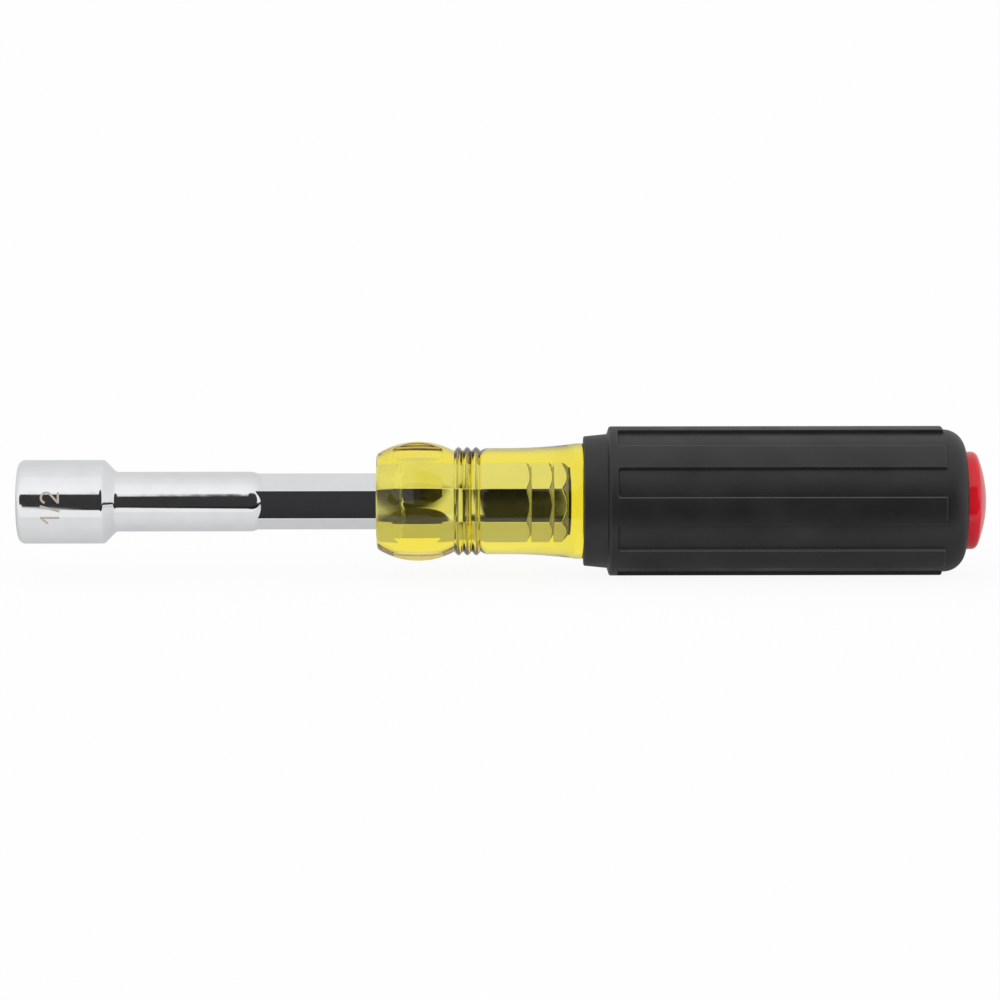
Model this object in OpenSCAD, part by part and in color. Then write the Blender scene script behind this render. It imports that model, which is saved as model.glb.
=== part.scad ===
// Nut driver: a broached socket brazed to a hollow shank, a clear handle moulded over the
// shank's hexagonal tail, a ribbed cushion sleeve pushed over the handle, and a domed end cap.
// Every piece is drawn on a vertical axis, with its station measured from the socket's mouth,
// and is then laid down with the socket towards -X and one grip rib on the ground.

/* [Socket] */
// Width across flats of the nut that the socket takes
nut_af = 12.7; // [9:0.1:13.5]
// Play of the nut in the broached hexagon, across flats
nut_play = 0.15; // [0.05:0.05:0.4]
// Depth of the broached hexagon
hex_depth = 11.5; // [5:0.1:12]
// Outside diameter of the socket's barrel
socket_d = 17.8; // [17.2:0.1:22]
// Length of the socket's barrel
socket_l = 18.3; // [16.5:0.1:26]
// Rounding of the barrel's edge at the mouth
mouth_edge_r = 1.5; // [0.2:0.1:1.5]
// Rounding of the barrel's edge at the cone
barrel_edge_r = 0.9; // [0.2:0.1:2]
// Half angle of the cone behind the barrel
socket_cone_angle = 45; // [30:1:60]
// Fillet from the cone to the socket's tail
cone_root_r = 1; // [0.2:0.1:1.5]

/* [Shank] */
// Diameter of the shank's round stretch
shank_d = 12.7; // [12.2:0.1:14]
// Diameter of the bore that clears a long bolt
bore_d = 8.4; // [6:0.1:9]
// Reach of the shaft from the mouth to the handle
shaft_reach = 76.2; // [65:0.1:150]
// Station where the round stretch runs into the hexagon
hex_start = 49.2; // [30:0.1:68]
// Width across flats of the hexagonal stretch
hex_af = 10.5; // [9.9:0.05:10.9]
// Steepest angle of the swaged shoulder at the start of the hexagon
shoulder_angle = 45; // [30:1:50]
// Rounding where the round stretch turns into the shoulder
shoulder_r = 3.7; // [0.5:0.1:4]
// Length of the hexagon inside the handle
embed_l = 41; // [36:0.1:60]
// Number of retaining grooves on the tail
groove_count = 2; // [1:1:4]
// Distance between the grooves
groove_pitch = 4.9; // [2.5:0.1:7]
// Distance of the last groove from the tail's end
groove_setback = 3.1; // [2.2:0.1:6]
// Floor diameter of a groove
groove_floor_d = 9.5; // [9.2:0.1:9.9]

/* [Bore plug] */
// Diameter of the plug's head behind the shank
plug_head_d = 9.8; // [9.2:0.1:10.4]
// Thickness of the plug's head
plug_head_t = 0.6; // [0.4:0.1:2]
// Length of the plug's stem in its seat
plug_stem_l = 2.4; // [1:0.1:2.8]

/* [Handle core] */
// Largest diameter of the domed front collar
dome_d = 25.4; // [24.8:0.1:27]
// Distance from the handle's front to the dome's widest place
dome_rise = 8.8; // [8:0.1:9.5]
// Length of the domed front collar
dome_l = 16.45; // [15.5:0.05:17]
// Radius of the dome's long curve
dome_arc_r = 16; // [15:0.1:20]
// Rounding of the handle's front edge
front_edge_r = 1.1; // [0.2:0.1:1.5]
// Number of flats that keep the tool from rolling
flat_count = 8; // [6:1:8]
// Width across two opposite flats
flat_af = 24.2; // [23.8:0.1:24.6]
// Length of a flat along the handle
flat_l = 10.5; // [8:0.1:12]
// Radius of a flat's slight crown along the handle
flat_crown_r = 32; // [25:1:60]
// Number of moulded rings behind the dome
ring_count = 3; // [1:1:4]
// Distance between the rings
ring_pitch = 1.87; // [1.8:0.01:2.4]
// Outside diameter of the rings
ring_d = 23.05; // [22.6:0.05:23.6]
// Diameter of the neck behind the rings
neck_d = 22.6; // [22:0.1:23.4]
// Length of the straight neck
neck_l = 6.3; // [4:0.1:8]
// Radius of the neck's flare into the sleeve
flare_r = 100; // [60:1:120]
// Diameter of the handle's body inside the sleeve
body_d = 24.6; // [24:0.1:26]
// Length of the handle's body from its front to its rear face
core_l = 122; // [110:0.1:150]

/* [Cushion grip] */
// Thickness of the sleeve at its ribs
grip_wall = 3.575; // [2.4:0.025:5]
// Depth of the valleys between the ribs
valley_depth = 0.75; // [0.3:0.05:1]
// Number of ribs
rib_count = 8; // [6:1:8]
// Width of a rib
rib_w = 6.1; // [4:0.1:7]
// Distance from the handle's front to the sleeve's front
grip_setback = 43.9; // [40:0.1:45]
// Length of the sleeve's plain collar
collar_l = 5.3; // [3:0.1:8]
// Thickness of the collar at its front
collar_front_wall = 1.5; // [0.9:0.05:1.9]
// Thickness of the collar where it meets the ribs
collar_rear_wall = 1.95; // [1.4:0.05:2.6]
// Length of the band that joins the ribs at the front
band_l = 1.9; // [1.2:0.1:4]
// How far the band's front face leans back from the collar to its rim
band_lean = 0.35; // [0.1:0.05:1]
// Rounding of the rim at the band's front and at the ribs' rear ends
rib_edge_r = 0.6; // [0.2:0.1:0.7]
// Rounding of the sleeve's rear edge
rear_edge_r = 4.6; // [1:0.1:4.6]
// Thickness of the sleeve's rear wall
rear_wall_t = 3; // [1.5:0.1:6]
// Distance from the sleeve's rear face to the ribs' rear ends
rib_setback = 4.85; // [4.7:0.05:9]
// Number of keys that stop the sleeve from turning on the handle
key_count = 4; // [2:1:8]
// Width of a key
key_w = 3; // [1.5:0.1:4]
// Height of a key
key_h = 0.7; // [0.3:0.1:1.2]

/* [End cap] */
// Diameter of the cap's head
cap_d = 20.8; // [17:0.1:20.9]
// Height of the cap's crown behind the sleeve
cap_proud = 4.5; // [3:0.1:7]
// Rounding between the cap's side and its crown
cap_edge_r = 1.4; // [0.3:0.1:2]
// Radius of the crown's curve
cap_dome_r = 25.5; // [22:0.5:40]
// Diameter of the cap's stem
stem_d = 12; // [6:0.1:15]
// Length of the cap's stem in the handle
stem_l = 8; // [3:0.1:16]

/* [Fits] */
// Clearance between pieces that are brazed, moulded or bonded together
seat_gap = 0.02; // [0.01:0.01:0.05]

/* [Hidden] */
// How far a cutting shape runs past the surface that it cuts
overrun = 1;
// Chords in a rounded outline, and sides of a full circle
arc_steps = 10;
$fn = 96;

// Socket: bevel of the mouth, pilot hole under the hexagon, seat of the shank's spigot in the tail
mouth_bevel = 0.5;
pilot_step = 0.15;
pilot_l = 0.8;
drill_angle = 59;
tail_wall = 1.05;
tail_l = 0.4;
seat_floor_t = 1.2;
socket_hex_af = nut_af + nut_play;
socket_r = socket_d / 2;
shank_r = shank_d / 2;
bore_r = bore_d / 2;
cone_root_station = socket_l + (socket_r - shank_r) / tan(socket_cone_angle);
socket_rear = cone_root_station + cone_root_r * tan(socket_cone_angle / 2) + tail_l;
pilot_r = socket_hex_af / 2 - pilot_step;
pilot_end = hex_depth + pilot_l;
drill_end = pilot_end + (pilot_r - bore_r) / tan(drill_angle);
tail_seat_station = drill_end + seat_floor_t;
tail_seat_r = shank_r - tail_wall;

// Shank: hexagon's corners are trimmed round, its tail is bevelled, its grooves lean like barbs
hex_corner_trim = 0.05;
groove_barb_angle = 50;
tail_bevel_l = 1.4;
tail_bevel_angle = 35;
hex_corner_r = hex_af / 2 / cos(30) - hex_corner_trim;
groove_floor_r = groove_floor_d / 2;
shank_end = shaft_reach + embed_l;

// Bore plug: ledge of its seat in the shank's end, and the bevel on its nose
plug_ledge = 0.3;
plug_bevel = 0.15;
plug_seat_r = bore_r + plug_ledge;
plug_seat_station = shank_end - plug_stem_l;
plug_end = shank_end + plug_head_t;

// Handle core: stations from front to rear
core_front = shaft_reach;
core_rear = core_front + core_l;
dome_mid = core_front + dome_rise;
ring_r_share = 0.93;
ring_tube_r = ring_r_share * ring_pitch / 2;
ring_root_r = ring_d / 2 - ring_tube_r;
rings_start = core_front + dome_l;
rings_end = rings_start + ring_count * ring_pitch;
neck_shoulder_r = 2.6;
neck_r = neck_d / 2;
body_r = body_d / 2;
flare_start = rings_end + neck_l;
flare_angle = acos(1 - (body_r - neck_r) / flare_r);

// Cushion grip: stations and the rounding of its collar and valleys
grip_edge_r = 0.4;
valley_corner_r = 0.6;
grip_r = body_r + grip_wall;
base_r = grip_r - valley_depth;
collar_front_r = body_r + collar_front_wall;
collar_rear_r = body_r + collar_rear_wall;
grip_front = core_front + grip_setback;
band_start = grip_front + collar_l;
band_middle = band_start + band_l / 2;
band_foot = band_start - band_lean;
rim_r = min(rib_edge_r, (grip_r - collar_rear_r) / 2);
band_lean_angle = atan(band_lean / (grip_r - rim_r - collar_rear_r));
valley_start = band_start + band_l;
grip_rear = core_rear + rear_wall_t;
rib_end = grip_rear - rib_setback;
rib_angle = 2 * asin(rib_w / 2 / grip_r);
valley_angle = 360 / rib_count - rib_angle;
valley_w = 2 * grip_r * sin(valley_angle / 2);
key_start = valley_start;

// End cap: stem's nose bevel
stem_bevel = 0.6;
cap_r = cap_d / 2;
cap_end = grip_rear + cap_proud;

overall_l = cap_end;
axis_height = grip_r;

// Points [radius, station] on a round stretch of an outline
function arc(centre, r, from, to) =
    [for (i = [0 : arc_steps]) let (a = from + (to - from) * i / arc_steps) centre + r * [cos(a), sin(a)]];

// Lays a piece down: its axis along X, at the height where a rib touches the ground
module laid_down() {
    translate([-overall_l / 2, 0, axis_height]) rotate([0, 90, 0]) children();
}

// Copies a shape evenly round the axis
module round_axis(count, first = 0) {
    for (i = [0 : count - 1]) rotate(first + i * 360 / count) children();
}

// A cylinder between two stations
module disc(r, from, to) {
    translate([0, 0, from]) cylinder(r = r, h = to - from);
}

// A hexagonal bar between two stations, with a corner facing the ground
module hex_bar(af, from, to) {
    translate([0, 0, from]) cylinder(r = af / 2 / cos(30), h = to - from, $fn = 6);
}

// Socket barrel with its rounded mouth, its cone and the short tail that the shank butts on
module socket_blank() {
    turn = socket_cone_angle;
    rotate_extrude() polygon(concat(
        [[0, 0]],
        arc([socket_r - mouth_edge_r, mouth_edge_r], mouth_edge_r, -90, 0),
        arc([socket_r - barrel_edge_r, socket_l - barrel_edge_r * tan(turn / 2)], barrel_edge_r, 0, turn),
        arc([shank_r + cone_root_r, socket_rear - tail_l], cone_root_r, 180 + turn, 180),
        [[shank_r, socket_rear], [0, socket_rear]]
    ));
}

// Broached hexagon, its pilot hole and drill point, the bore and the seat for the shank's spigot
module socket_hollow() {
    bevel_r = socket_hex_af / 2 + mouth_bevel;
    hex_bar(socket_hex_af, -overrun, hex_depth);
    translate([0, 0, -overrun])
        cylinder(r1 = bevel_r + overrun, r2 = bevel_r - overrun, h = 2 * overrun);
    disc(pilot_r, 0, pilot_end);
    translate([0, 0, pilot_end]) cylinder(r1 = pilot_r, r2 = bore_r, h = drill_end - pilot_end);
    disc(bore_r, pilot_end, socket_rear + overrun);
    disc(tail_seat_r, tail_seat_station, socket_rear + overrun);
}

module socket() {
    color("silver") laid_down() difference() {
        socket_blank();
        socket_hollow();
    }
}

// One barbed groove: a cone that leans in towards a square wall at the given station
module barbed_groove(wall, gap) {
    rim_r = hex_corner_r + overrun;
    floor_r = groove_floor_r + gap;
    rotate_extrude() polygon([
        [floor_r, wall],
        [rim_r, wall],
        [rim_r, wall - (rim_r - floor_r) / tan(groove_barb_angle)]
    ]);
}

// Hexagonal stretch with trimmed corners, barbed grooves and a bevelled tail
module hex_tail(from, gap) {
    corner_r = hex_corner_r + gap;
    end_r = corner_r - tail_bevel_l * tan(tail_bevel_angle);
    difference() {
        intersection() {
            hex_bar(hex_af + 2 * gap, from, shank_end);
            rotate_extrude() polygon([
                [0, from], [corner_r, from], [corner_r, shank_end - tail_bevel_l],
                [end_r, shank_end], [0, shank_end]
            ]);
        }
        for (i = [0 : groove_count - 1]) barbed_groove(shank_end - groove_setback - i * groove_pitch, gap);
    }
}

// Round stretch that ends in the swaged shoulder, which runs in under the hexagon's flats
module round_stretch() {
    turn = shoulder_angle;
    round_centre = [shank_r - shoulder_r, hex_start];
    shoulder_top = round_centre + shoulder_r * [cos(turn), sin(turn)];
    shoulder_end = shoulder_top.y + (shoulder_top.x - groove_floor_r) / tan(turn);
    rotate_extrude() polygon(concat(
        [[0, socket_rear], [shank_r, socket_rear]],
        arc(round_centre, shoulder_r, 0, turn),
        [[groove_floor_r, shoulder_end], [0, shoulder_end]]
    ));
}

module shank() {
    color("silver") laid_down() difference() {
        union() {
            disc(tail_seat_r - seat_gap, tail_seat_station, socket_rear + overrun);
            round_stretch();
            hex_tail(hex_start, 0);
        }
        disc(bore_r, tail_seat_station - overrun, shank_end);
        disc(plug_seat_r, plug_seat_station, shank_end + overrun);
    }
}

// Plug that closes the bore against the moulding plastic, pressed in as far as the ledge of its seat
module bore_plug() {
    stem_r = plug_seat_r - seat_gap;
    color("dimgray") laid_down() rotate_extrude() polygon([
        [0, plug_seat_station],
        [stem_r - plug_bevel, plug_seat_station],
        [stem_r, plug_seat_station + plug_bevel],
        [stem_r, shank_end],
        [plug_head_d / 2, shank_end],
        [plug_head_d / 2, plug_end],
        [0, plug_end]
    ]);
}

// Revolved outline of the handle: domed collar, ring roots, neck, flare and body.
// The gap widens the outline, for the sleeve's bore.
module core_outline(gap) {
    dome_centre = [dome_d / 2 - dome_arc_r, dome_mid];
    front_angle = asin((core_front + front_edge_r - dome_mid) / (dome_arc_r - front_edge_r));
    rear_angle = asin((rings_start - dome_mid) / dome_arc_r);
    front_centre = dome_centre + (dome_arc_r - front_edge_r) * [cos(front_angle), sin(front_angle)];
    shoulder_angle_end = acos(1 - (neck_r - ring_root_r) / neck_shoulder_r);
    rotate_extrude() polygon(concat(
        [[0, core_front]],
        arc(front_centre, front_edge_r, -90, front_angle),
        arc(dome_centre, dome_arc_r, front_angle, rear_angle),
        [[ring_root_r, rings_start], [ring_root_r, rings_end]],
        arc([neck_r - neck_shoulder_r, rings_end + neck_shoulder_r * sin(shoulder_angle_end)],
            neck_shoulder_r, -shoulder_angle_end, 0),
        arc([neck_r + flare_r + gap, flare_start], flare_r, 180, 180 - flare_angle),
        [[body_r + gap, core_rear], [0, core_rear]]
    ));
}

// Cutter for one crowned flat on the dome
module flat_cutter() {
    crown_axis = flat_af / 2 - flat_crown_r;
    difference() {
        translate([0, -dome_d / 2, dome_mid - flat_l / 2]) cube([dome_d, dome_d, flat_l]);
        translate([crown_axis, 0, dome_mid]) rotate([90, 0, 0])
            cylinder(r = flat_crown_r, h = dome_d + 2 * overrun, center = true);
    }
}

// Keys of the sleeve, and with a gap the keyways of the handle
module keys(gap, to) {
    round_axis(key_count, 180 / key_count) translate([0, -key_w / 2 - gap, key_start - gap])
        cube([body_r + overrun, key_w + 2 * gap, to - key_start + gap]);
}

module handle_core() {
    pocket_r = stem_d / 2 + seat_gap;
    color("gold", 0.6) laid_down() difference() {
        union() {
            core_outline(0);
            for (i = [0 : ring_count - 1]) rotate_extrude()
                translate([ring_root_r, rings_start + i * ring_pitch + ring_pitch / 2]) circle(r = ring_tube_r);
        }
        round_axis(flat_count, 180 / flat_count) flat_cutter();
        hex_tail(core_front - overrun, seat_gap);
        disc(plug_head_d / 2 + seat_gap, shank_end - overrun, plug_end);
        difference() {
            keys(seat_gap, core_rear + overrun);
            disc(body_r - key_h - seat_gap, key_start - overrun, core_rear + 2 * overrun);
        }
        disc(pocket_r, core_rear - stem_l - seat_gap, core_rear + overrun);
    }
}

// Plan of one valley between two ribs, closed with round corners at the front
module valley_plan(l) {
    corner = valley_corner_r;
    translate([-valley_w / 2, corner]) square([valley_w, l - corner]);
    translate([corner - valley_w / 2, 0]) square([valley_w - 2 * corner, l]);
    for (side = [-1, 1]) translate([side * (valley_w / 2 - corner), corner]) circle(r = corner);
}

// Cutter for one valley, which the sleeve's base then fills up to its own surface
module valley_cutter() {
    translate([0, 0, valley_start]) rotate([90, 0, 90]) linear_extrude(grip_r + overrun)
        valley_plan(rib_end + overrun - valley_start);
}

// Revolved outline of the sleeve's base with its collar and rounded rear edge
module grip_base() {
    rotate_extrude() polygon(concat(
        [[0, grip_front]],
        arc([collar_front_r - grip_edge_r, grip_front + grip_edge_r], grip_edge_r, -90, 0),
        [[collar_rear_r, band_start], [collar_rear_r, band_middle], [base_r, band_middle]],
        arc([base_r - rear_edge_r, grip_rear - rear_edge_r], rear_edge_r, 0, 90),
        [[0, grip_rear]]
    ));
}

// Front band and ribs, left between the valleys and rounded at both ends. The revolved ring starts at the
// rib beside the lowest one, so that its seam isn't where the tool touches the ground.
module rib_ring() {
    difference() {
        rotate(360 / rib_count) rotate_extrude() polygon(concat(
            [[0, band_foot], [collar_rear_r, band_foot]],
            arc([grip_r - rim_r, band_start + rim_r], rim_r, band_lean_angle - 90, 0),
            arc([grip_r - rim_r, rib_end - rim_r], rim_r, 0, 90),
            [[0, rib_end]]
        ));
        round_axis(rib_count, 180 / rib_count) valley_cutter();
    }
}

module cushion_grip() {
    color([0.16, 0.16, 0.16]) laid_down() difference() {
        union() {
            grip_base();
            rib_ring();
        }
        difference() {
            core_outline(seat_gap);
            difference() {
                keys(0, core_rear);
                disc(body_r - key_h, key_start - overrun, core_rear + overrun);
            }
        }
        disc(cap_r + seat_gap, core_rear - overrun, grip_rear + overrun);
    }
}

module end_cap() {
    dome_centre = [0, cap_end - cap_dome_r];
    edge_centre_r = cap_r - cap_edge_r;
    dome_edge_angle = acos(edge_centre_r / (cap_dome_r - cap_edge_r));
    edge_centre = dome_centre + (cap_dome_r - cap_edge_r) * [cos(dome_edge_angle), sin(dome_edge_angle)];
    color("crimson") laid_down() rotate_extrude() polygon(concat(
        [
            [0, core_rear - stem_l], [stem_d / 2 - stem_bevel, core_rear - stem_l],
            [stem_d / 2, core_rear - stem_l + stem_bevel], [stem_d / 2, core_rear], [cap_r, core_rear]
        ],
        arc(edge_centre, cap_edge_r, 0, dome_edge_angle),
        arc(dome_centre, cap_dome_r, dome_edge_angle, 90)
    ));
}

socket();
shank();
bore_plug();
handle_core();
cushion_grip();
end_cap();
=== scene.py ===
import bpy
import numpy as np
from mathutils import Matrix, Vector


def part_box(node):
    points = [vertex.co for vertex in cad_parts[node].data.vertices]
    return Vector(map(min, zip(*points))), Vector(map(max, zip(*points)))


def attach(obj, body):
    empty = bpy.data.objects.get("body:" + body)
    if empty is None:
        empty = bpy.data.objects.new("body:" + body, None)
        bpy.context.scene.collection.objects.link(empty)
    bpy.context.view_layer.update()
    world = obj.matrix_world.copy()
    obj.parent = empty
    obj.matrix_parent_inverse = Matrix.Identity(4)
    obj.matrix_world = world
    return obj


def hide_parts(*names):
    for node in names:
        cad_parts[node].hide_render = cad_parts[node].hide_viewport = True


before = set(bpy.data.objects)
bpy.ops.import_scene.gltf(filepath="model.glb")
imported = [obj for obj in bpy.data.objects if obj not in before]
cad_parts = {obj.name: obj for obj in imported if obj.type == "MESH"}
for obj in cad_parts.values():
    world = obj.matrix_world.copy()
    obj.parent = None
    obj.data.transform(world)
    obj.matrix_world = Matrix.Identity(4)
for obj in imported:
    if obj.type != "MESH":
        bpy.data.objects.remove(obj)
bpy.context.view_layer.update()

# Socket
# A steel socket, turned outside and punched to a hexagon inside, then plated with nickel and chrome.
# Its short tail is brazed round the shank's spigot. Stations are in millimetres from the mouth.
mouth_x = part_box("socket")[0][0]
axis_z = (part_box("cushion_grip")[0][2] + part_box("cushion_grip")[1][2]) / 2
millimetre = 0.001
sharp_angle = np.radians(32)
socket_r = 8.9
socket_l = 18.3
socket_end = 21.664
mouth_edge = 1.5
barrel_edge = 0.9
cone_angle = 45
cone_root = 1
shank_r = 6.35
bore_r = 4.2
bore_start = 13.547
spigot_start = 14.747
spigot_seat_r = 5.3
socket_hex = 12.85
hex_depth = 11.5
hex_root = 0.15
mouth_bevel = 0.5
pilot_r = 6.275
pilot_end = 12.3


def around_axis(station, radius, angle):
    """Points at a station along the tool and a radius from its axis; the angle is counted from the top."""
    station, radius, angle = np.broadcast_arrays(station, radius, angle)
    return np.stack([
        mouth_x + station * millimetre,
        radius * np.sin(angle) * millimetre,
        axis_z + radius * np.cos(angle) * millimetre,
    ], axis=-1)


def skin(name, points, joined):
    """Closes rows of points, each a loop round the axis, into one surface. A joined skin runs from its last
    row back to its first, as on a tube; any other shrinks to one point at both ends."""
    rows, columns = points.shape[:2]
    if not joined:
        rows -= 2
    index = np.arange(rows * columns).reshape(rows, columns)
    after = np.roll(index, -1, axis=1)
    faces = np.stack([index[:-1], index[1:], after[1:], after[:-1]], axis=-1).reshape(-1, 4).tolist()
    if joined:
        faces += np.stack([index[-1], index[0], after[0], after[-1]], axis=-1).tolist()
        points = points.reshape(-1, 3)
    else:
        tip = np.full(columns, rows * columns)
        faces += np.stack([tip, index[0], after[0]], axis=-1).tolist()
        faces += np.stack([index[-1], tip + 1, after[-1]], axis=-1).tolist()
        points = np.concatenate([points[1:-1].reshape(-1, 3), points[[0, -1], 0]])
    mesh = bpy.data.meshes.new(name)
    mesh.from_pydata(points.tolist(), [], faces)
    mesh.shade_smooth()
    mesh.set_sharp_from_angle(angle=sharp_angle)
    piece = bpy.data.objects.new(name, mesh)
    bpy.context.scene.collection.objects.link(piece)
    return piece


def bend(station, radius, r, start, end, steps):
    """Points of a turned profile on an arc of radius r about a centre; the angle starts from outwards."""
    a = np.radians(np.linspace(start, end, steps))
    return np.stack([station + r * np.sin(a), radius + r * np.cos(a)], axis=1)


def hexagon(angle, across, corner_r):
    """Radius of a hexagon with a corner straight up: half its width over the cosine of the angle from the
    nearest flat, and near a corner the far side of a circle that touches both flats."""
    half = across / 2
    from_flat = np.mod(angle, np.pi / 3) - np.pi / 6
    from_corner = np.pi / 6 - np.abs(from_flat)
    centre = (half - corner_r) / np.cos(np.pi / 6)
    rounded = centre * np.cos(from_corner) + np.sqrt(
        np.maximum(corner_r ** 2 - (centre * np.sin(from_corner)) ** 2, 0))
    flat_end = np.arctan((half - corner_r) * np.tan(np.pi / 6) / half)
    return np.where(np.abs(from_flat) < flat_end, half / np.cos(from_flat), rounded)


# Columns of points round the hexagons, close together at the corners.
hex_sector = np.concatenate([np.linspace(-2.2, 2.2, 9), np.linspace(4.2, 55.8, 21)])
hex_angles = np.radians((60 * np.arange(6)[:, None] + hex_sector).ravel())

barrel_end = socket_l - barrel_edge * np.tan(np.radians(cone_angle / 2))
barrel = np.concatenate([
    bend(mouth_edge, socket_r - mouth_edge, mouth_edge, -90, 0, 18),
    [[mouth_edge + 0.2, socket_r], [socket_l - 0.55, socket_r]],
    bend(barrel_end, socket_r - barrel_edge, barrel_edge, 0, cone_angle, 10),
    bend(socket_end - 0.4, shank_r + cone_root, cone_root, 180 + cone_angle, 180, 12),
    [[socket_end, shank_r]],
    [[socket_end, spigot_seat_r], [spigot_start, spigot_seat_r], [spigot_start, bore_r]],
    [[bore_start, bore_r], [pilot_end, pilot_r], [hex_depth, pilot_r]],
])
hex_wall = np.concatenate([[hex_depth], np.linspace(1.1, 0, 23)])[:, None]
hex_radius = np.maximum(hexagon(hex_angles, socket_hex, hex_root), socket_hex / 2 + mouth_bevel - hex_wall)
socket = skin("chromed_socket", np.concatenate([
    around_axis(barrel[:, :1], barrel[:, 1:], hex_angles),
    around_axis(hex_wall, hex_radius, hex_angles),
]), joined=True)


def add_node(material, kind, **values):
    """A new node in a material, with its own settings and the values of its sockets."""
    node = material.node_tree.nodes.new(kind)
    for name, value in values.items():
        if name in node.inputs:
            node.inputs[name].default_value = value
        else:
            setattr(node, name, value)
    return node


def speckle(material, scale, detail, stretch=(1, 1, 1)):
    """Noise on Object coordinates, scale in turns per metre, stretched along the three axes."""
    place = add_node(material, "ShaderNodeTexCoord")
    stretched = add_node(material, "ShaderNodeMapping", Scale=stretch)
    noise = add_node(material, "ShaderNodeTexNoise", Scale=scale, Detail=detail)
    material.node_tree.links.new(place.outputs["Object"], stretched.inputs["Vector"])
    material.node_tree.links.new(stretched.outputs["Vector"], noise.inputs["Vector"])
    return noise.outputs["Fac"]


def spread(material, source, low, high, target):
    """Carries noise, mostly between 0.3 and 0.7, over to a range of a shader's socket."""
    ramp = add_node(material, "ShaderNodeMapRange")
    ramp.inputs["From Min"].default_value = 0.3
    ramp.inputs["From Max"].default_value = 0.7
    ramp.inputs["To Min"].default_value = low
    ramp.inputs["To Max"].default_value = high
    material.node_tree.links.new(source, ramp.inputs["Value"])
    material.node_tree.links.new(ramp.outputs["Result"], target)


def tint(material, source, low, high, target):
    """Carries noise over to a range between two colours."""
    ramp = add_node(material, "ShaderNodeValToRGB")
    ramp.color_ramp.elements[0].position = 0.3
    ramp.color_ramp.elements[0].color = (*low, 1)
    ramp.color_ramp.elements[1].position = 0.7
    ramp.color_ramp.elements[1].color = (*high, 1)
    material.node_tree.links.new(source, ramp.inputs["Fac"])
    material.node_tree.links.new(ramp.outputs["Color"], target)


def relief(material, source, height, normal=None):
    """Bump of a given height in metres, laid over another bump if there is one."""
    bump = add_node(material, "ShaderNodeBump", Strength=1, Distance=height)
    material.node_tree.links.new(source, bump.inputs["Height"])
    if normal is not None:
        material.node_tree.links.new(normal, bump.inputs["Normal"])
    return bump.outputs["Normal"]


def new_finish(name):
    """A new material and its main shader."""
    material = bpy.data.materials.new(name)
    material.use_nodes = True
    return material, material.node_tree.nodes["Principled BSDF"]


chrome, chrome_shader = new_finish("polished_chrome")
chrome_shader.inputs["Metallic"].default_value = 1
tint(chrome, speckle(chrome, 220, 3), (0.79, 0.80, 0.815), (0.83, 0.84, 0.85),
     chrome_shader.inputs["Base Color"])
spread(chrome, speckle(chrome, 500, 4), 0.05, 0.1, chrome_shader.inputs["Roughness"])
chrome_ripple = relief(chrome, speckle(chrome, 260, 1), 0.000012)
chrome_lines = relief(chrome, speckle(chrome, 900, 2, (8, 0.3, 0.3)), 0.0000005, chrome_ripple)
chrome.node_tree.links.new(chrome_lines, chrome_shader.inputs["Normal"])
socket.data.materials.append(chrome)
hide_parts("socket")
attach(socket, "root")

# Size mark
# The size of the nut, etched into the plating, so it is matt and a little warmer than the chrome.
# It reads up the barrel, on the side that faces the camera.
mark_station = 9.4
mark_height = 4.05
mark_width = 0.46
mark_r = socket_r + 0.006
bow_r = 1.1


def etched_stroke(path):
    """A flat ribbon carried along a path on the barrel: the path's own points, moved half a stroke's width
    to each side of its direction. A path gives how far round the barrel and how far towards the mouth."""
    path = np.asarray(path, dtype=float)
    along = np.gradient(path, axis=0)
    along /= np.linalg.norm(along, axis=1, keepdims=True)
    side = np.stack([-along[:, 1], along[:, 0]], axis=1)
    edge = path[:, None] + side[:, None] * np.array([-0.5, 0, 0.5])[:, None] * mark_width
    return around_axis(mark_station - edge[..., 1], mark_r, edge[..., 0] / mark_r - np.pi / 2)


# The one's stem and flag, the slash, the two's bow with its diagonal, and the two's foot.
two_bow = np.radians(np.linspace(165, -38, 26))
strokes = [
    np.linspace((-2.2, 0), (-2.2, mark_height), 12),
    np.linspace((-2.2, mark_height - 0.15), (-3.55, mark_height - 1.6), 8),
    np.linspace((-0.78, -0.1), (0.36, mark_height), 14),
    np.concatenate([
        np.stack([2.15 + bow_r * np.cos(two_bow), mark_height - 1.33 + bow_r * np.sin(two_bow)], axis=1),
        np.linspace((2.85, mark_height - 2.2), (1.1, 0.25), 14),
    ]),
    np.linspace((0.95, 0.23), (3.3, 0.23), 12),
]
ribbons = [etched_stroke(path) for path in strokes]
mark_faces = []
mark_count = 0
for ribbon in ribbons:
    number = mark_count + np.arange(ribbon.shape[0] * 3).reshape(-1, 3)
    mark_faces += np.stack([number[:-1, :-1], number[:-1, 1:], number[1:, 1:], number[1:, :-1]],
                           axis=-1).reshape(-1, 4).tolist()
    mark_count += ribbon.shape[0] * 3
mark_points = np.concatenate([ribbon.reshape(-1, 3) for ribbon in ribbons])
mark_mesh = bpy.data.meshes.new("size_mark")
mark_mesh.from_pydata(mark_points.tolist(), [], mark_faces)
mark_mesh.shade_smooth()
size_mark = bpy.data.objects.new("size_mark", mark_mesh)
bpy.context.scene.collection.objects.link(size_mark)
etched, etched_shader = new_finish("etched_plate")
tint(etched, speckle(etched, 4000, 3), (0.46, 0.38, 0.31), (0.60, 0.52, 0.44),
     etched_shader.inputs["Base Color"])
spread(etched, speckle(etched, 3000, 2), 0.5, 0.7, etched_shader.inputs["Roughness"])
size_mark.data.materials.append(etched)
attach(size_mark, "root")

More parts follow.
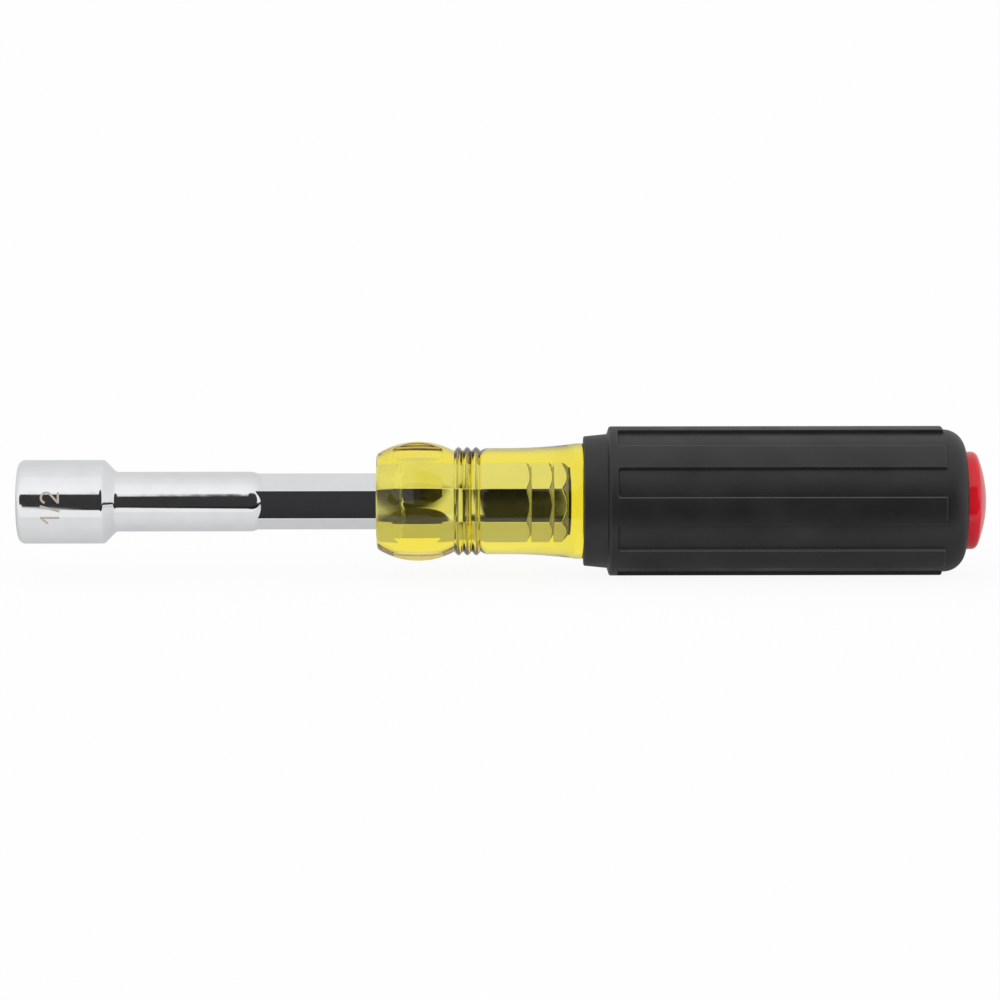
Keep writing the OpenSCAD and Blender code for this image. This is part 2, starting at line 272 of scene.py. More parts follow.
# Shank
# A steel tube with the same plate, round in front and swaged to a hexagon behind. Its tail has two barbed
# grooves and a bevelled end, cut after plating and so bare and matt, and the handle is moulded round it.
shank_hex = 10.5
hex_corner = 0.3
shoulder_bend = 3.7
shoulder_blend = 0.06
hex_start = 49.2
shank_end = 117.2
groove_walls = (109.2, 114.1)
groove_l = 1.4
groove_floor_r = 4.75
groove_angle = 50
end_bevel_l = 1.4
end_bevel_r = 6.012
end_bevel_angle = 35
least_cut = 0.004
spigot_r = 5.28
seat_r = 4.5
seat_start = 114.8


def soft_max(a, b, blend):
    """The larger of two heights, with a small fillet where they cross."""
    return (a + b + np.sqrt((a - b) ** 2 + blend ** 2)) / 2


def tail_radius(station, angle):
    """Radius of the hexagonal stretch: the hexagon, cut by a cone that ends at each groove's square wall,
    and by the bevel of its end."""
    radius = hexagon(angle, shank_hex, hex_corner)
    for wall in groove_walls:
        cone = groove_floor_r + (wall - station) * np.tan(np.radians(groove_angle))
        in_groove = (station <= wall) & (station > wall - groove_l)
        radius = np.where(in_groove, np.minimum(radius, cone), radius)
    past_bevel = station - shank_end + end_bevel_l
    bevel_r = end_bevel_r - past_bevel * np.tan(np.radians(end_bevel_angle))
    return np.minimum(radius, np.maximum(bevel_r, 0))


def shank_radius(station, angle):
    """Radius of the whole shank: a cylinder that rounds off, at the end as steeply as a cone of 45 degrees,
    and sinks into the hexagon."""
    past = np.maximum(station - hex_start, 0)
    steep = shoulder_bend * np.sin(np.pi / 4)
    on_bend = np.minimum(past, steep)
    turned = shank_r - shoulder_bend + np.sqrt(shoulder_bend ** 2 - on_bend ** 2) - (past - on_bend)
    return np.where(station <= hex_start, shank_r,
                    soft_max(tail_radius(station, angle), np.maximum(turned, 4), shoulder_blend))


front_wall, rear_wall = groove_walls
shank_stations = np.concatenate([
    np.linspace(socket_end, hex_start, 9),
    np.linspace(hex_start + 0.05, hex_start + 3.2, 60),
    np.linspace(hex_start + 3.6, 76.2, 8),
    np.linspace(79, front_wall - 1.6, 9),
    np.linspace(front_wall - 1.3, front_wall, 24),
    [front_wall + 0.002],
    np.linspace(front_wall + 0.4, rear_wall - 1.5, 4),
    np.linspace(rear_wall - 1.3, rear_wall, 24),
    [rear_wall + 0.002],
    np.linspace(rear_wall + 0.3, shank_end - 1.5, 4),
    np.linspace(shank_end - end_bevel_l, shank_end, 18),
])[:, None]
shank_bore = np.array([
    [shank_end, seat_r], [seat_start, seat_r], [seat_start, bore_r],
    [spigot_start, bore_r], [spigot_start, spigot_r], [socket_end, spigot_r],
])
shank = skin("chromed_shank", np.concatenate([
    around_axis(shank_stations, shank_radius(shank_stations, hex_angles), hex_angles),
    around_axis(shank_bore[:, :1], shank_bore[:, 1:], hex_angles),
]), joined=True)
shank.data.materials.append(chrome)
bare_steel, bare_shader = new_finish("bare_cut_steel")
tint(bare_steel, speckle(bare_steel, 700, 3), (0.95, 0.95, 0.94), (0.99, 0.99, 0.98),
     bare_shader.inputs["Base Color"])
spread(bare_steel, speckle(bare_steel, 900, 3), 0.4, 0.5, bare_shader.inputs["Roughness"])
shank.data.materials.append(bare_steel)
cut = hexagon(hex_angles, shank_hex, hex_corner) - tail_radius(shank_stations, hex_angles) > least_cut
cut_faces = np.zeros(len(shank.data.polygons), dtype=np.int32)
cut_faces[:cut.size] = (cut & np.roll(cut, -1, axis=1)).ravel()
shank.data.polygons.foreach_set("material_index", cut_faces)
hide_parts("shank")
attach(shank, "root")

# Bore plug
# A black plug pressed into the shank's end, so that the handle's plastic stays out of the bore. Its thin
# head shows through the handle as a dark line behind the shank.
plug_r = 4.48
plug_edge = 0.15
head_r = 4.88
head_end = 117.8
plug_profile = np.array([
    [seat_start, 0], [seat_start, plug_r - plug_edge], [seat_start + plug_edge, plug_r], [shank_end, plug_r],
    [shank_end, head_r - 0.08], [shank_end + 0.05, head_r], [head_end - 0.1, head_r],
    [head_end - 0.02, head_r - 0.08], [head_end, head_r - 0.18], [head_end, 0],
])
plug_points = around_axis(plug_profile[:, :1], plug_profile[:, 1:], hex_angles)
plug = skin("bore_plug_head", plug_points, joined=False)
plug_black, plug_shader = new_finish("black_plug")
tint(plug_black, speckle(plug_black, 1500, 3), (0.02, 0.018, 0.015), (0.05, 0.045, 0.035),
     plug_shader.inputs["Base Color"])
spread(plug_black, speckle(plug_black, 2500, 2), 0.45, 0.65, plug_shader.inputs["Roughness"])
plug.data.materials.append(plug_black)
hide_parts("bore_plug")
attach(plug, "root")

# Handle core
# Clear amber acetate, moulded round the shank's tail and polished. In front it has a domed collar with
# eight crowned flats, then three rings and a waisted neck; the rest of it lies inside the sleeve.
core_front = 76.2
core_rear = 198.2
dome_mid = 85
dome_r = 12.7
dome_bend = 16
front_bend = 1.1
flat_r = 12.1
flat_bend = 32
flat_half_l = 5.25
rings_start = 92.65
ring_pitch = 1.87
ring_r = 0.87
ring_root_r = 11.525 - ring_r
ridge_round = 0.6
rings_end = rings_start + 3 * ring_pitch
neck_r = 11.3
neck_bend = 2.6
flare_start = rings_end + 6.3
flare_bend = 100
body_r = 12.3
grip_front = 120.1
seat_edge = 0.35
wetted_from = 81.9
wet_width = 0.25
stand_off = 0.05
cling = 0.07
bead_height = 0.1
mouth_r = 6.4
stem_start = 190.2
stem_r = 6
column_gap = np.radians(0.25)


def dome_radius(station):
    """Radius of the domed collar: an arc along the handle."""
    return dome_r - dome_bend + np.sqrt(dome_bend ** 2 - (station - dome_mid) ** 2)


def flat_distance(station):
    """Distance of a flat from the axis: an arc of twice the dome's radius, so that the flat is crowned."""
    return flat_r - flat_bend + np.sqrt(flat_bend ** 2 - (station - dome_mid) ** 2)


def flat_half_angle(station):
    """Half the angle that a flat takes up round the handle, where its plane meets the dome."""
    near = dome_mid + np.clip(station - dome_mid, -flat_half_l, flat_half_l)
    return np.arccos(flat_distance(near) / dome_radius(near))


def core_angles(station):
    """Angles of the columns on one row: 36 to each flat, so that two of them run along the flat's edges."""
    edge = flat_half_angle(station)
    flat = np.linspace(0, 1, 10) * (edge - column_gap)
    land = edge + column_gap + np.linspace(0, 1, 9) * (np.pi / 8 - edge - column_gap)
    sector = np.concatenate([-land[:, -2::-1], -flat[:, :0:-1], flat, land], axis=1)
    centres = np.pi / 8 + np.pi / 4 * np.arange(8)
    return (centres[None, :, None] + sector[:, None, :]).reshape(len(station), -1)


def flared_radius(station):
    """Radius of the neck and body: a cylinder, then an arc that opens it out to the body."""
    past = np.maximum(station - flare_start, 0)
    return np.minimum(neck_r + flare_bend - np.sqrt(flare_bend ** 2 - np.minimum(past, 20) ** 2), body_r)


def ring_radius(station):
    """Radius over the rings: a rounded ridge for each, a hyperbola in section, with a small fillet in the
    valleys."""
    from_ring = np.mod(station - rings_start, ring_pitch) - ring_pitch / 2
    foot_drop = np.hypot(ring_pitch / 2, ridge_round) - ridge_round
    drop = (np.hypot(from_ring, ridge_round) - ridge_round) / foot_drop
    return soft_max(ring_root_r + ring_r * (1 - drop), ring_root_r + 0.08, 0.1)


even_angles = np.radians(1.25 * np.arange(1, 289))
cavity_stations = np.concatenate([
    np.linspace(shank_end, shank_end - end_bevel_l, 10),
    [rear_wall + 0.002],
    np.linspace(rear_wall, rear_wall - 1.3, 16),
    [front_wall + 0.002],
    np.linspace(front_wall, front_wall - 1.3, 16),
    np.linspace(106, 83.4, 10),
    np.linspace(83.2, 80.6, 44),
    np.linspace(80, core_front, 5),
])[:, None]

# The plastic clings to the steel behind a wavy line and stands off it a little in front, with a bead between.
wet_line = wetted_from + 0.35 * np.sin(3 * even_angles + 0.6) + 0.22 * np.sin(7 * even_angles + 2)
wetted = np.clip((cavity_stations - wet_line) / wet_width, 0, 1)
wet_bead = np.exp(-((cavity_stations - wet_line) / wet_width) ** 2)
cavity_radius = tail_radius(cavity_stations, even_angles) + stand_off - cling * wetted
cavity_radius = cavity_radius + bead_height * wet_bead
cavity_end = np.array([
    [head_end + 0.01, 0], [head_end + 0.01, head_r - 0.02], [shank_end - 0.01, head_r - 0.02],
])

front_turn = np.arcsin((core_front + front_bend - dome_mid) / (dome_bend - front_bend))
front_centre_r = dome_r - dome_bend + (dome_bend - front_bend) * np.cos(front_turn)
front_edge = np.concatenate([
    [[core_front, mouth_r]],
    bend(core_front + front_bend, front_centre_r, front_bend, -90, np.degrees(front_turn), 10),
])
dome_front = np.linspace(front_edge[-1, 0] + 0.1, dome_mid - flat_half_l, 8)
flat_rows = dome_mid + np.concatenate([
    [-flat_half_l + 0.04],
    np.linspace(-flat_half_l + 0.2, flat_half_l - 0.2, 32),
    [flat_half_l - 0.04],
])
dome_rear = np.linspace(dome_mid + flat_half_l, rings_start, 10)
dome_stations = np.concatenate([dome_front, flat_rows, dome_rear])[:, None]
dome_angles = core_angles(dome_stations)
from_flat = np.mod(dome_angles, np.pi / 4) - np.pi / 8
on_flats = np.abs(dome_stations - dome_mid) < flat_half_l - 0.01
flat_surface = np.minimum(dome_radius(dome_stations), flat_distance(dome_stations) / np.cos(from_flat))
dome_surface = np.where(on_flats, flat_surface, dome_radius(dome_stations))
ring_stations = np.linspace(rings_start + 0.03, rings_end - 0.03, 84)
neck_turn = np.degrees(np.arccos(1 - (neck_r - ring_root_r - 0.06) / neck_bend))
neck_edge = bend(rings_end + neck_bend * np.sin(np.radians(neck_turn)), neck_r - neck_bend,
                 neck_bend, -neck_turn, 0, 12)
neck_stations = np.concatenate([np.linspace(neck_edge[-1, 0] + 0.3, flare_start, 5),
                                np.linspace(flare_start + 0.5, 118.8, 24)])
core_profile = np.concatenate([
    np.stack([ring_stations, ring_radius(ring_stations)], axis=1),
    neck_edge,
    np.stack([neck_stations, flared_radius(neck_stations)], axis=1),
    bend(grip_front - 0.05 - seat_edge, body_r - seat_edge, seat_edge, 0, 90, 8),
    [[grip_front, body_r - seat_edge], [grip_front + 0.2, body_r], [160, body_r], [core_rear, body_r]],
    [[core_rear, stem_r + 0.02], [stem_start - 0.02, stem_r + 0.02], [stem_start - 0.02, 0]],
])
core = skin("amber_handle", np.concatenate([
    around_axis(cavity_end[:, :1], cavity_end[:, 1:], even_angles),
    around_axis(cavity_stations, cavity_radius, even_angles),
    around_axis(front_edge[:, :1], front_edge[:, 1:], core_angles(front_edge[:, :1])),
    around_axis(dome_stations, dome_surface, dome_angles),
    around_axis(core_profile[:, :1], core_profile[:, 1:], core_angles(core_profile[:, :1])),
]), joined=False)
dull = np.zeros(len(core.data.vertices), dtype=np.float32)
dull_from = (len(cavity_end) - 1) * len(even_angles)
dull[dull_from:dull_from + wetted.size] = 1 - wetted.ravel()
dull_wall = core.data.attributes.new("dull_wall", "FLOAT", "POINT")
dull_wall.data.foreach_set("value", dull)
amber, amber_shader = new_finish("amber_acetate")
amber_shader.inputs["Base Color"].default_value = (1, 1, 1, 1)
amber_shader.inputs["Transmission Weight"].default_value = 1
amber_shader.inputs["IOR"].default_value = 1.48
amber_haze = add_node(amber, "ShaderNodeMath", operation="ADD")
spread(amber, speckle(amber, 300, 4), 0.01, 0.04, amber_haze.inputs[0])
dull_place = add_node(amber, "ShaderNodeAttribute", attribute_name="dull_wall")
spread(amber, dull_place.outputs["Fac"], 0, 0.3, amber_haze.inputs[1])
amber.node_tree.links.new(amber_haze.outputs["Value"], amber_shader.inputs["Roughness"])
amber.node_tree.links.new(relief(amber, speckle(amber, 180, 2), 0.000015), amber_shader.inputs["Normal"])
amber_depth = add_node(amber, "ShaderNodeVolumeAbsorption", Color=(0.967, 0.915, 0.08, 1), Density=150)
amber.node_tree.links.new(amber_depth.outputs["Volume"],
                          amber.node_tree.nodes["Material Output"].inputs["Volume"])
core.data.materials.append(amber)
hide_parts("handle_core")
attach(core, "root")

# Cushion grip
# A soft black vinyl sleeve, pushed over the handle and keyed to it. A plain collar leads to a full band,
# from which eight ribs run back to the rounded rear end. The edges that face up carry a painted highlight.
band_foot = 125.05
band_start = 125.4
valley_start = 127.3
rib_end = 196.35
grip_rear = 201.2
grip_r = 15.875
valley_depth = 0.75
rear_bend = 4.6
collar_r = 13.8
collar_edge = 0.4
foot_r = 14.3
rim_edge = 0.6
rib_half_w = 3.05
rib_edge = 0.28
rib_corner = 0.4
valley_corner = 0.6
wall_run = 0.16
cap_hole_r = 10.42
highlight_inset = 0.13
highlight_width = 0.15
rib_half_angle = np.arcsin(rib_half_w / grip_r)


def rib_inset(station, angle):
    """How far a point lies inside the outline of the ribs and the band, negative in a valley: the distance
    from a valley with round front corners, or from the ribs' rear end, whose corners are round too."""
    valley_half_w = grip_r * (np.pi / 8 - rib_half_angle)
    from_rib = np.abs(np.mod(angle + np.pi / 8, np.pi / 4) - np.pi / 8)
    across = grip_r * (np.pi / 8 - from_rib) - valley_half_w + valley_corner
    before = valley_start + valley_corner - station
    round_corner = np.hypot(np.maximum(across, 0), np.maximum(before, 0))
    off_valley = round_corner + np.minimum(np.maximum(across, before), 0) - valley_corner
    off_end = rib_end - station
    near_valley = np.maximum(rib_corner - off_valley, 0)
    near_end = np.maximum(rib_corner - off_end, 0)
    corner = rib_corner - np.hypot(near_valley, near_end)
    return np.minimum(np.minimum(off_valley, off_end), corner)


def rounded_step(inset, edge):
    """Height over the valleys at a distance from an edge that is rounded to an arc."""
    near = edge - np.clip(inset, 0, edge)
    return valley_depth - edge + np.sqrt(edge ** 2 - near ** 2)


def rib_height(station, angle):
    """Height of the ribs over the valleys: a steep wall with a rounded edge, a rounder one at the rear."""
    inset = rib_inset(station, angle)
    wall = np.clip(inset / wall_run + 0.5, 0, 1)
    wall = wall * wall * (3 - 2 * wall)
    return wall * np.minimum(rounded_step(inset, rib_edge), rounded_step(rib_end - station, rim_edge))


def base_radius(station):
    """Radius of the sleeve under its ribs: a cylinder with a round rear edge."""
    past = np.maximum(station - grip_rear + rear_bend, 0)
    return grip_r - valley_depth - rear_bend + np.sqrt(np.maximum(rear_bend ** 2 - past ** 2, 0))


grip_half = np.concatenate([
    np.linspace(0, grip_r * rib_half_angle - 0.5, 6),
    grip_r * rib_half_angle + np.linspace(-0.34, 0.14, 17),
    np.linspace(grip_r * rib_half_angle + 0.35, grip_r * np.pi / 8, 6),
]) / grip_r
grip_sector = np.concatenate([-grip_half[:0:-1], grip_half[:-1]])
grip_angles = (np.pi / 4 * np.arange(8)[:, None] + grip_sector).ravel()
collar = np.concatenate([
    [[grip_front, body_r + 0.02], [grip_front, collar_r - 0.6]],
    bend(grip_front + collar_edge, collar_r - collar_edge, collar_edge, -90, 0, 8),
    [[band_foot - 0.1, foot_r - 0.06], [band_foot, foot_r], [band_foot + 0.06, foot_r + 0.1]],
    bend(band_start + rim_edge, grip_r - rim_edge, rim_edge, -72, 0, 10),
])
ribbed_stations = np.concatenate([
    np.linspace(band_start + rim_edge + 0.2, valley_start - 0.45, 4),
    np.linspace(valley_start - 0.34, valley_start + 0.14, 17),
    np.linspace(valley_start + 0.2, valley_start + 1, 12),
    np.linspace(130, rib_end - 1.1, 20),
    np.linspace(rib_end - 0.9, rib_end + 0.12, 26),
    np.linspace(rib_end + 0.4, grip_rear - rear_bend, 4),
])[:, None]
ribbed_radius = base_radius(ribbed_stations) + rib_height(ribbed_stations, grip_angles)
rear = np.concatenate([
    bend(grip_rear - rear_bend, grip_r - valley_depth - rear_bend, rear_bend, 4, 90, 20),
    [[grip_rear - 0.1, cap_hole_r], [core_rear + 0.02, cap_hole_r], [core_rear + 0.02, body_r + 0.02]],
])
grip = skin("cushion_sleeve", np.concatenate([
    around_axis(collar[:, :1], collar[:, 1:], grip_angles),
    around_axis(ribbed_stations, ribbed_radius, grip_angles),
    around_axis(rear[:, :1], rear[:, 1:], grip_angles),
]), joined=True)
# Painted highlight: a lighter colour along the ribs' edges, strongest where they face up, stands for the
# light they catch from above.
grip_normals = np.empty(3 * len(grip.data.vertices), dtype=np.float32)
grip.data.vertices.foreach_get("normal", grip_normals)
upward = grip_normals.reshape(-1, len(grip_angles), 3)[..., 2]
edge_highlight = np.zeros(upward.shape, dtype=np.float32)
from_highlight_line = rib_inset(ribbed_stations, grip_angles) - highlight_inset
edge_highlight[len(collar):-len(rear)] = np.exp(-(from_highlight_line / highlight_width) ** 2)
edge_highlight *= np.clip(0.35 + 1.2 * (upward - np.cos(grip_angles)), 0, 1) * np.clip(0.15 + 1.2 * upward, 0, 1)
painted_edge_highlight = grip.data.attributes.new("painted_edge_highlight", "FLOAT", "POINT")
painted_edge_highlight.data.foreach_set("value", edge_highlight.ravel())
vinyl, vinyl_shader = new_finish("black_vinyl")
vinyl_mix = add_node(vinyl, "ShaderNodeMix", data_type="RGBA")
clean_low = (0.0112, 0.0109, 0.0109)
clean_high = (0.0174, 0.0170, 0.0170)
# The painted highlight's lighter colours, mixed in along the edges, where the vinyl is also a little
# glossier.
highlight_low = (0.085, 0.083, 0.081)
highlight_high = (0.115, 0.112, 0.109)
tint(vinyl, speckle(vinyl, 110, 8), clean_low, clean_high, vinyl_mix.inputs["A"])
tint(vinyl, speckle(vinyl, 2500, 2), highlight_low, highlight_high, vinyl_mix.inputs["B"])
highlight_place = add_node(vinyl, "ShaderNodeAttribute", attribute_name="painted_edge_highlight")
vinyl.node_tree.links.new(highlight_place.outputs["Fac"], vinyl_mix.inputs["Factor"])
vinyl.node_tree.links.new(vinyl_mix.outputs["Result"], vinyl_shader.inputs["Base Color"])
vinyl_gloss = add_node(vinyl, "ShaderNodeMath", operation="MULTIPLY_ADD")
vinyl_gloss.inputs[1].default_value = -0.1
vinyl.node_tree.links.new(highlight_place.outputs["Fac"], vinyl_gloss.inputs[0])
spread(vinyl, speckle(vinyl, 85, 7), 0.39, 0.59, vinyl_gloss.inputs[2])
vinyl.node_tree.links.new(vinyl_gloss.outputs["Value"], vinyl_shader.inputs["Roughness"])
vinyl_grain = relief(vinyl, speckle(vinyl, 5200, 3), 0.00002)
vinyl_waves = relief(vinyl, speckle(vinyl, 300, 2), 0.000015, vinyl_grain)
vinyl.node_tree.links.new(vinyl_waves, vinyl_shader.inputs["Normal"])
grip.data.materials.append(vinyl)
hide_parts("cushion_grip")
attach(grip, "root")

# End cap
# A red domed cap whose stem is bonded into the handle's rear end. Its colour tells the size of the socket.
cap_r = 10.4
cap_end = 205.7
crown_bend = 25.5
cap_edge = 1.4
stem_edge = 0.6
crown_turn = np.arccos((cap_r - cap_edge) / (crown_bend - cap_edge))
crown_centre = cap_end - crown_bend
edge_centre = crown_centre + (crown_bend - cap_edge) * np.sin(crown_turn)
cap_profile = np.concatenate([
    [[stem_start, 0], [stem_start, stem_r - stem_edge], [stem_start + stem_edge, stem_r]],
    [[core_rear, stem_r], [core_rear, cap_r]],
    bend(edge_centre, cap_r - cap_edge, cap_edge, 0, np.degrees(crown_turn), 14),
    bend(crown_centre, 0, crown_bend, np.degrees(crown_turn) + 1, 89.5, 16),
    [[cap_end, 0]],
])
cap = skin("red_cap", around_axis(cap_profile[:, :1], cap_profile[:, 1:], even_angles), joined=False)
red, red_shader = new_finish("red_plastic")
tint(red, speckle(red, 300, 4), (0.71, 0.001, 0.012), (0.78, 0.002, 0.017), red_shader.inputs["Base Color"])
spread(red, speckle(red, 900, 4), 0.13, 0.2, red_shader.inputs["Roughness"])
red.node_tree.links.new(relief(red, speckle(red, 500, 3), 0.00001), red_shader.inputs["Normal"])
cap.data.materials.append(red)
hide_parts("end_cap")
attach(cap, "root")

# Stage
# A white table under a white tent, with even light. Only mirrored rays and rays from the clear handle find
# dark parts: the table some way in front of the tool, and a gap in the tent around the camera. The chrome
# and the handle show these as dark bands, and matt surfaces are lit as if they weren't there.
camera_elevation = np.radians(8.3)
camera_roll = np.radians(-0.09)
camera_distance = 0.96
frame_width = 0.2128
aim = np.array([-0.00045, 0, axis_z + 0.00024])
camera = bpy.data.objects.new("camera", bpy.data.cameras.new("camera"))
camera.data.sensor_width = 36
camera.data.lens = 36 * camera_distance / frame_width
camera.data.clip_end = 100
camera.rotation_mode = "ZYX"
camera.rotation_euler = (np.pi / 2 - camera_elevation, 0, camera_roll)
camera.location = aim + camera_distance * np.array([0, -np.cos(camera_elevation), np.sin(camera_elevation)])
bpy.context.scene.collection.objects.link(camera)
bpy.context.scene.camera = camera

table_mesh = bpy.data.meshes.new("table")
table_mesh.from_pydata([(-12, -12, 0), (12, -12, 0), (12, 12, 0), (-12, 12, 0)], [], [(0, 1, 2, 3)])
table = bpy.data.objects.new("table", table_mesh)
bpy.context.scene.collection.objects.link(table)


def calculate(tree_owner, operation, *terms):
    """One step of arithmetic in a node tree, on sockets and plain numbers."""
    node = add_node(tree_owner, "ShaderNodeMath", operation=operation)
    for place, term in zip(node.inputs, terms):
        if isinstance(term, (int, float)):
            place.default_value = term
        else:
            tree_owner.node_tree.links.new(term, place)
    return node.outputs["Value"]


def fade(tree_owner, value, start, end):
    """A smooth step from 0 at the start to 1 at the end."""
    step = add_node(tree_owner, "ShaderNodeMapRange", interpolation_type="SMOOTHSTEP")
    step.inputs["From Min"].default_value = start
    step.inputs["From Max"].default_value = end
    tree_owner.node_tree.links.new(value, step.inputs["Value"])
    return step.outputs["Result"]


def axis_parts(tree_owner, kind, output):
    """The three parts of a place or a direction."""
    node = add_node(tree_owner, kind)
    parts = add_node(tree_owner, "ShaderNodeSeparateXYZ")
    tree_owner.node_tree.links.new(node.outputs[output], parts.inputs["Vector"])
    return parts.outputs["X"], parts.outputs["Y"], parts.outputs["Z"]


def blend_shaders(tree_owner, share, first, second):
    """Two shaders mixed by a share."""
    mix = add_node(tree_owner, "ShaderNodeMixShader")
    tree_owner.node_tree.links.new(share, mix.inputs["Fac"])
    tree_owner.node_tree.links.new(first, mix.inputs[1])
    tree_owner.node_tree.links.new(second, mix.inputs[2])
    return mix.outputs["Shader"]


table_white, table_shader = new_finish("table_white")


def on_table(operation, *terms):
    """One step of arithmetic in the table's material."""
    return calculate(table_white, operation, *terms)


table_shader.inputs["Roughness"].default_value = 0.9
table_shader.inputs["Specular IOR Level"].default_value = 0
ray = add_node(table_white, "ShaderNodeLightPath").outputs
looked_at = ray["Is Camera Ray"]
through = ray["Is Transmission Ray"]
mirrored = on_table("MAXIMUM", ray["Is Glossy Ray"], through)
table_level = on_table("MULTIPLY_ADD", looked_at, 0.1, 0.85)
table_white.node_tree.links.new(table_level, table_shader.inputs["Base Color"])
spot_x, spot_y, _ = axis_parts(table_white, "ShaderNodeNewGeometry", "Position")
spot_left = on_table("MAXIMUM", on_table("MULTIPLY", spot_x, -1), 0)
spot_ahead = on_table("MULTIPLY", spot_y, -1)

# The dark part starts in front of the tool, later to the left by the square of the distance, and earlier
# where it shows through the handle.
dark_from = 0.037
dark_bow = 3.5
clear_lead = 0.012
dark_start = on_table("MULTIPLY_ADD", on_table("POWER", spot_left, 2), dark_bow, dark_from)
dark_start = on_table("MULTIPLY_ADD", through, -clear_lead, dark_start)
past_start = fade(table_white, on_table("SUBTRACT", spot_ahead, dark_start), -0.002, 0.003)

# It ends at the left on a slanted line. Through the handle it is a narrower strip with soft sides, whose
# width grows with the distance.
dark_left = 0.088
dark_lean = 0.2
strip_left = 0.026
strip_right = 0.012
strip_lean = 0.1
left_end = on_table("MULTIPLY_ADD", spot_ahead, dark_lean, dark_left)
within = fade(table_white, on_table("SUBTRACT", left_end, spot_left), -0.005, 0.01)
past_left = on_table("MULTIPLY_ADD", spot_x, -1, -strip_left)
past_right = on_table("MULTIPLY_ADD", spot_ahead, -strip_lean, on_table("SUBTRACT", spot_x, strip_right))
outside = on_table("MAXIMUM", past_left, past_right)
slant_outside = on_table("DIVIDE", outside, on_table("MAXIMUM", spot_ahead, 0.001))
in_strip = fade(table_white, slant_outside, 0.2, -0.02)
within = on_table("MULTIPLY_ADD", through, on_table("SUBTRACT", in_strip, within), within)
dark_share = on_table("MULTIPLY", on_table("MULTIPLY", past_start, within), mirrored)
shade = add_node(table_white, "ShaderNodeEmission", Color=(0.042, 0.042, 0.044, 1))
shade_level = on_table("MULTIPLY_ADD", fade(table_white, spot_ahead, 0.045, 0.12), 0.75, 0.25)
table_white.node_tree.links.new(shade_level, shade.inputs["Strength"])

# The bright part is dimmer close to the tool and under its grip, a painted shadow of the tool, and brighter
# ahead of it and behind it.
bright = on_table("MULTIPLY_ADD", fade(table_white, spot_ahead, -0.012, 0.02), 0.22, 0.64)
off_shadow = on_table("ABSOLUTE", on_table("SUBTRACT", spot_ahead, 0.008))
in_shadow = fade(table_white, off_shadow, 0.022, 0.008)
under_grip = on_table("MULTIPLY", fade(table_white, spot_x, 0.01, 0.03), in_shadow)
bright = on_table("MULTIPLY_ADD", under_grip, -0.38, bright)
bright = on_table("MULTIPLY_ADD", fade(table_white, spot_ahead, 0.026, 0.031), 0.14, bright)
behind = on_table("MULTIPLY", fade(table_white, spot_ahead, -0.012, -0.024), through)
bright = on_table("MULTIPLY_ADD", behind, 0.36, bright)
glow = add_node(table_white, "ShaderNodeEmission", Color=(1, 1, 1, 1))
table_white.node_tree.links.new(on_table("MAXIMUM", looked_at, bright), glow.inputs["Strength"])
glow_share = on_table("MULTIPLY", on_table("MAXIMUM", looked_at, mirrored), 0.92)
lit = blend_shaders(table_white, glow_share, table_shader.outputs["BSDF"], glow.outputs["Emission"])
table_look = blend_shaders(table_white, dark_share, lit, shade.outputs["Emission"])
table_white.node_tree.links.new(table_look, table_white.node_tree.nodes["Material Output"].inputs["Surface"])
table.data.materials.append(table_white)

tent = bpy.data.worlds.new("tent")
bpy.context.scene.world = tent
tent.use_nodes = True
tent_light = tent.node_tree.nodes["Background"]
tent_light.inputs["Color"].default_value = (1, 1, 1, 1)


def in_tent(operation, *terms):
    """One step of arithmetic in the tent's light."""
    return calculate(tent, operation, *terms)


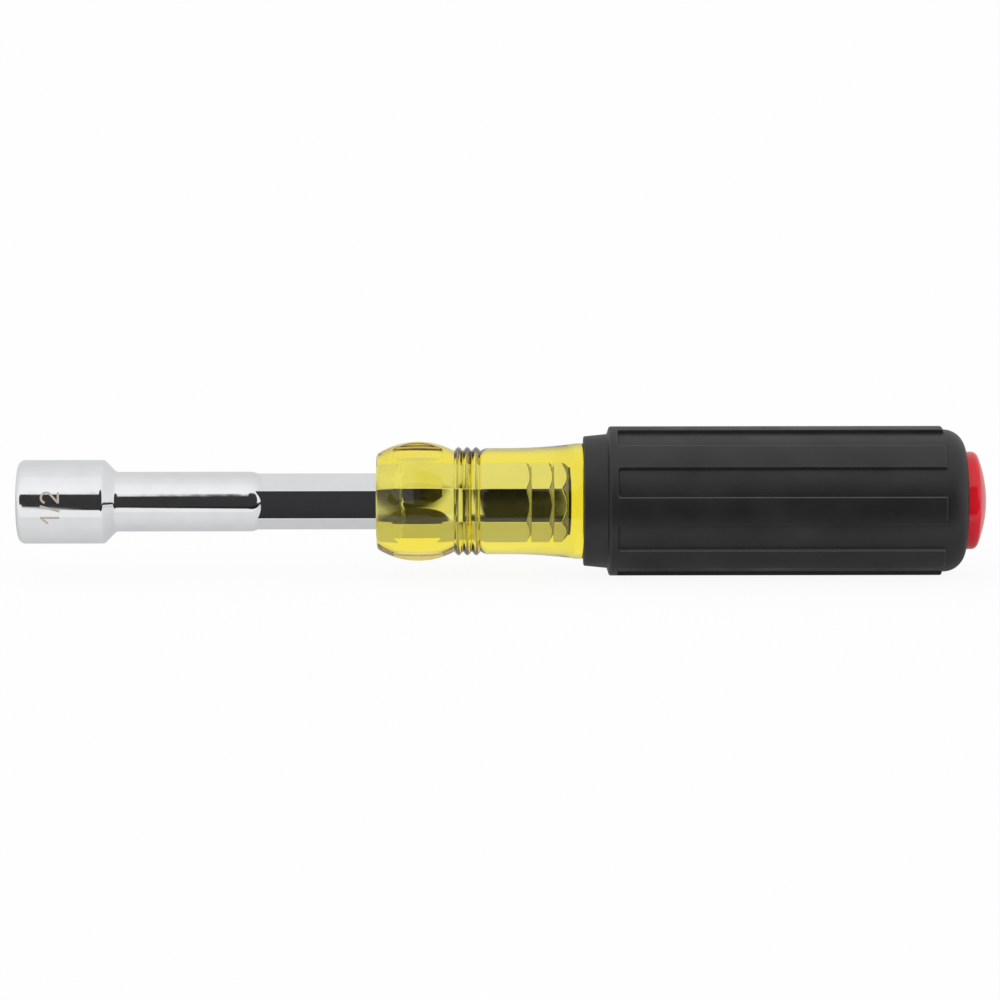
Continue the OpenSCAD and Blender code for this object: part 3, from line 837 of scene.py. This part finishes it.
sky_x, sky_y, sky_z = axis_parts(tent, "ShaderNodeTexCoord", "Generated")
ahead = in_tent("MULTIPLY", sky_y, -1)
slant = in_tent("DIVIDE", sky_x, in_tent("MAXIMUM", ahead, 0.001))
tent_ray = add_node(tent, "ShaderNodeLightPath").outputs
tent_through = tent_ray["Is Transmission Ray"]
tent_mirrored = in_tent("MAXIMUM", tent_ray["Is Glossy Ray"], tent_through)

# The gap is an ellipse in front, wider to the right, lower to the far left, and narrower and lower through
# the handle.
gap_middle = 0.2
gap_level = 0.04
right_share = fade(tent, slant, 0.02, 0.09)
gap_width = in_tent("MULTIPLY_ADD", right_share, 0.45, 1.15)
gap_width = in_tent("MULTIPLY_ADD", tent_through, -0.8, gap_width)
gap_height = in_tent("MULTIPLY_ADD", right_share, 0.04, 0.28)
raised = in_tent("MULTIPLY", fade(tent, slant, -0.087, -0.083), in_tent("SUBTRACT", 1, tent_through))
gap_height = in_tent("MULTIPLY_ADD", raised, 0.13, gap_height)
sideways = in_tent("POWER", in_tent("ABSOLUTE", in_tent("DIVIDE", slant, gap_width)), 2)
upwards = in_tent("DIVIDE", in_tent("SUBTRACT", sky_z, gap_middle), gap_height)
upwards = in_tent("POWER", in_tent("ABSOLUTE", upwards), 2)
in_gap = fade(tent, in_tent("ADD", sideways, upwards), 1.15, 0.85)
in_gap = in_tent("MULTIPLY", in_gap, fade(tent, ahead, 0, 0.05))
in_gap = in_tent("MULTIPLY", in_gap, tent_mirrored)

# The cloth is a little brighter in front, and white behind where it shows through the handle.
cloth = in_tent("MULTIPLY_ADD", ahead, 0.15, 0.89)
cloth = in_tent("MULTIPLY_ADD", fade(tent, ahead, 0.15, 0.19), 0.05, cloth)
clear = in_tent("MULTIPLY", tent_through, fade(tent, ahead, 0.05, -0.1))
cloth = in_tent("MULTIPLY_ADD", clear, in_tent("SUBTRACT", 1, cloth), cloth)
tent_level = in_tent("MULTIPLY_ADD", in_gap, in_tent("SUBTRACT", gap_level, cloth), cloth)
background = in_tent("SUBTRACT", 1, tent_level)
tent_level = in_tent("MULTIPLY_ADD", tent_ray["Is Camera Ray"], background, tent_level)
tent.node_tree.links.new(tent_level, tent_light.inputs["Strength"])

bpy.context.scene.view_settings.view_transform = "Standard"
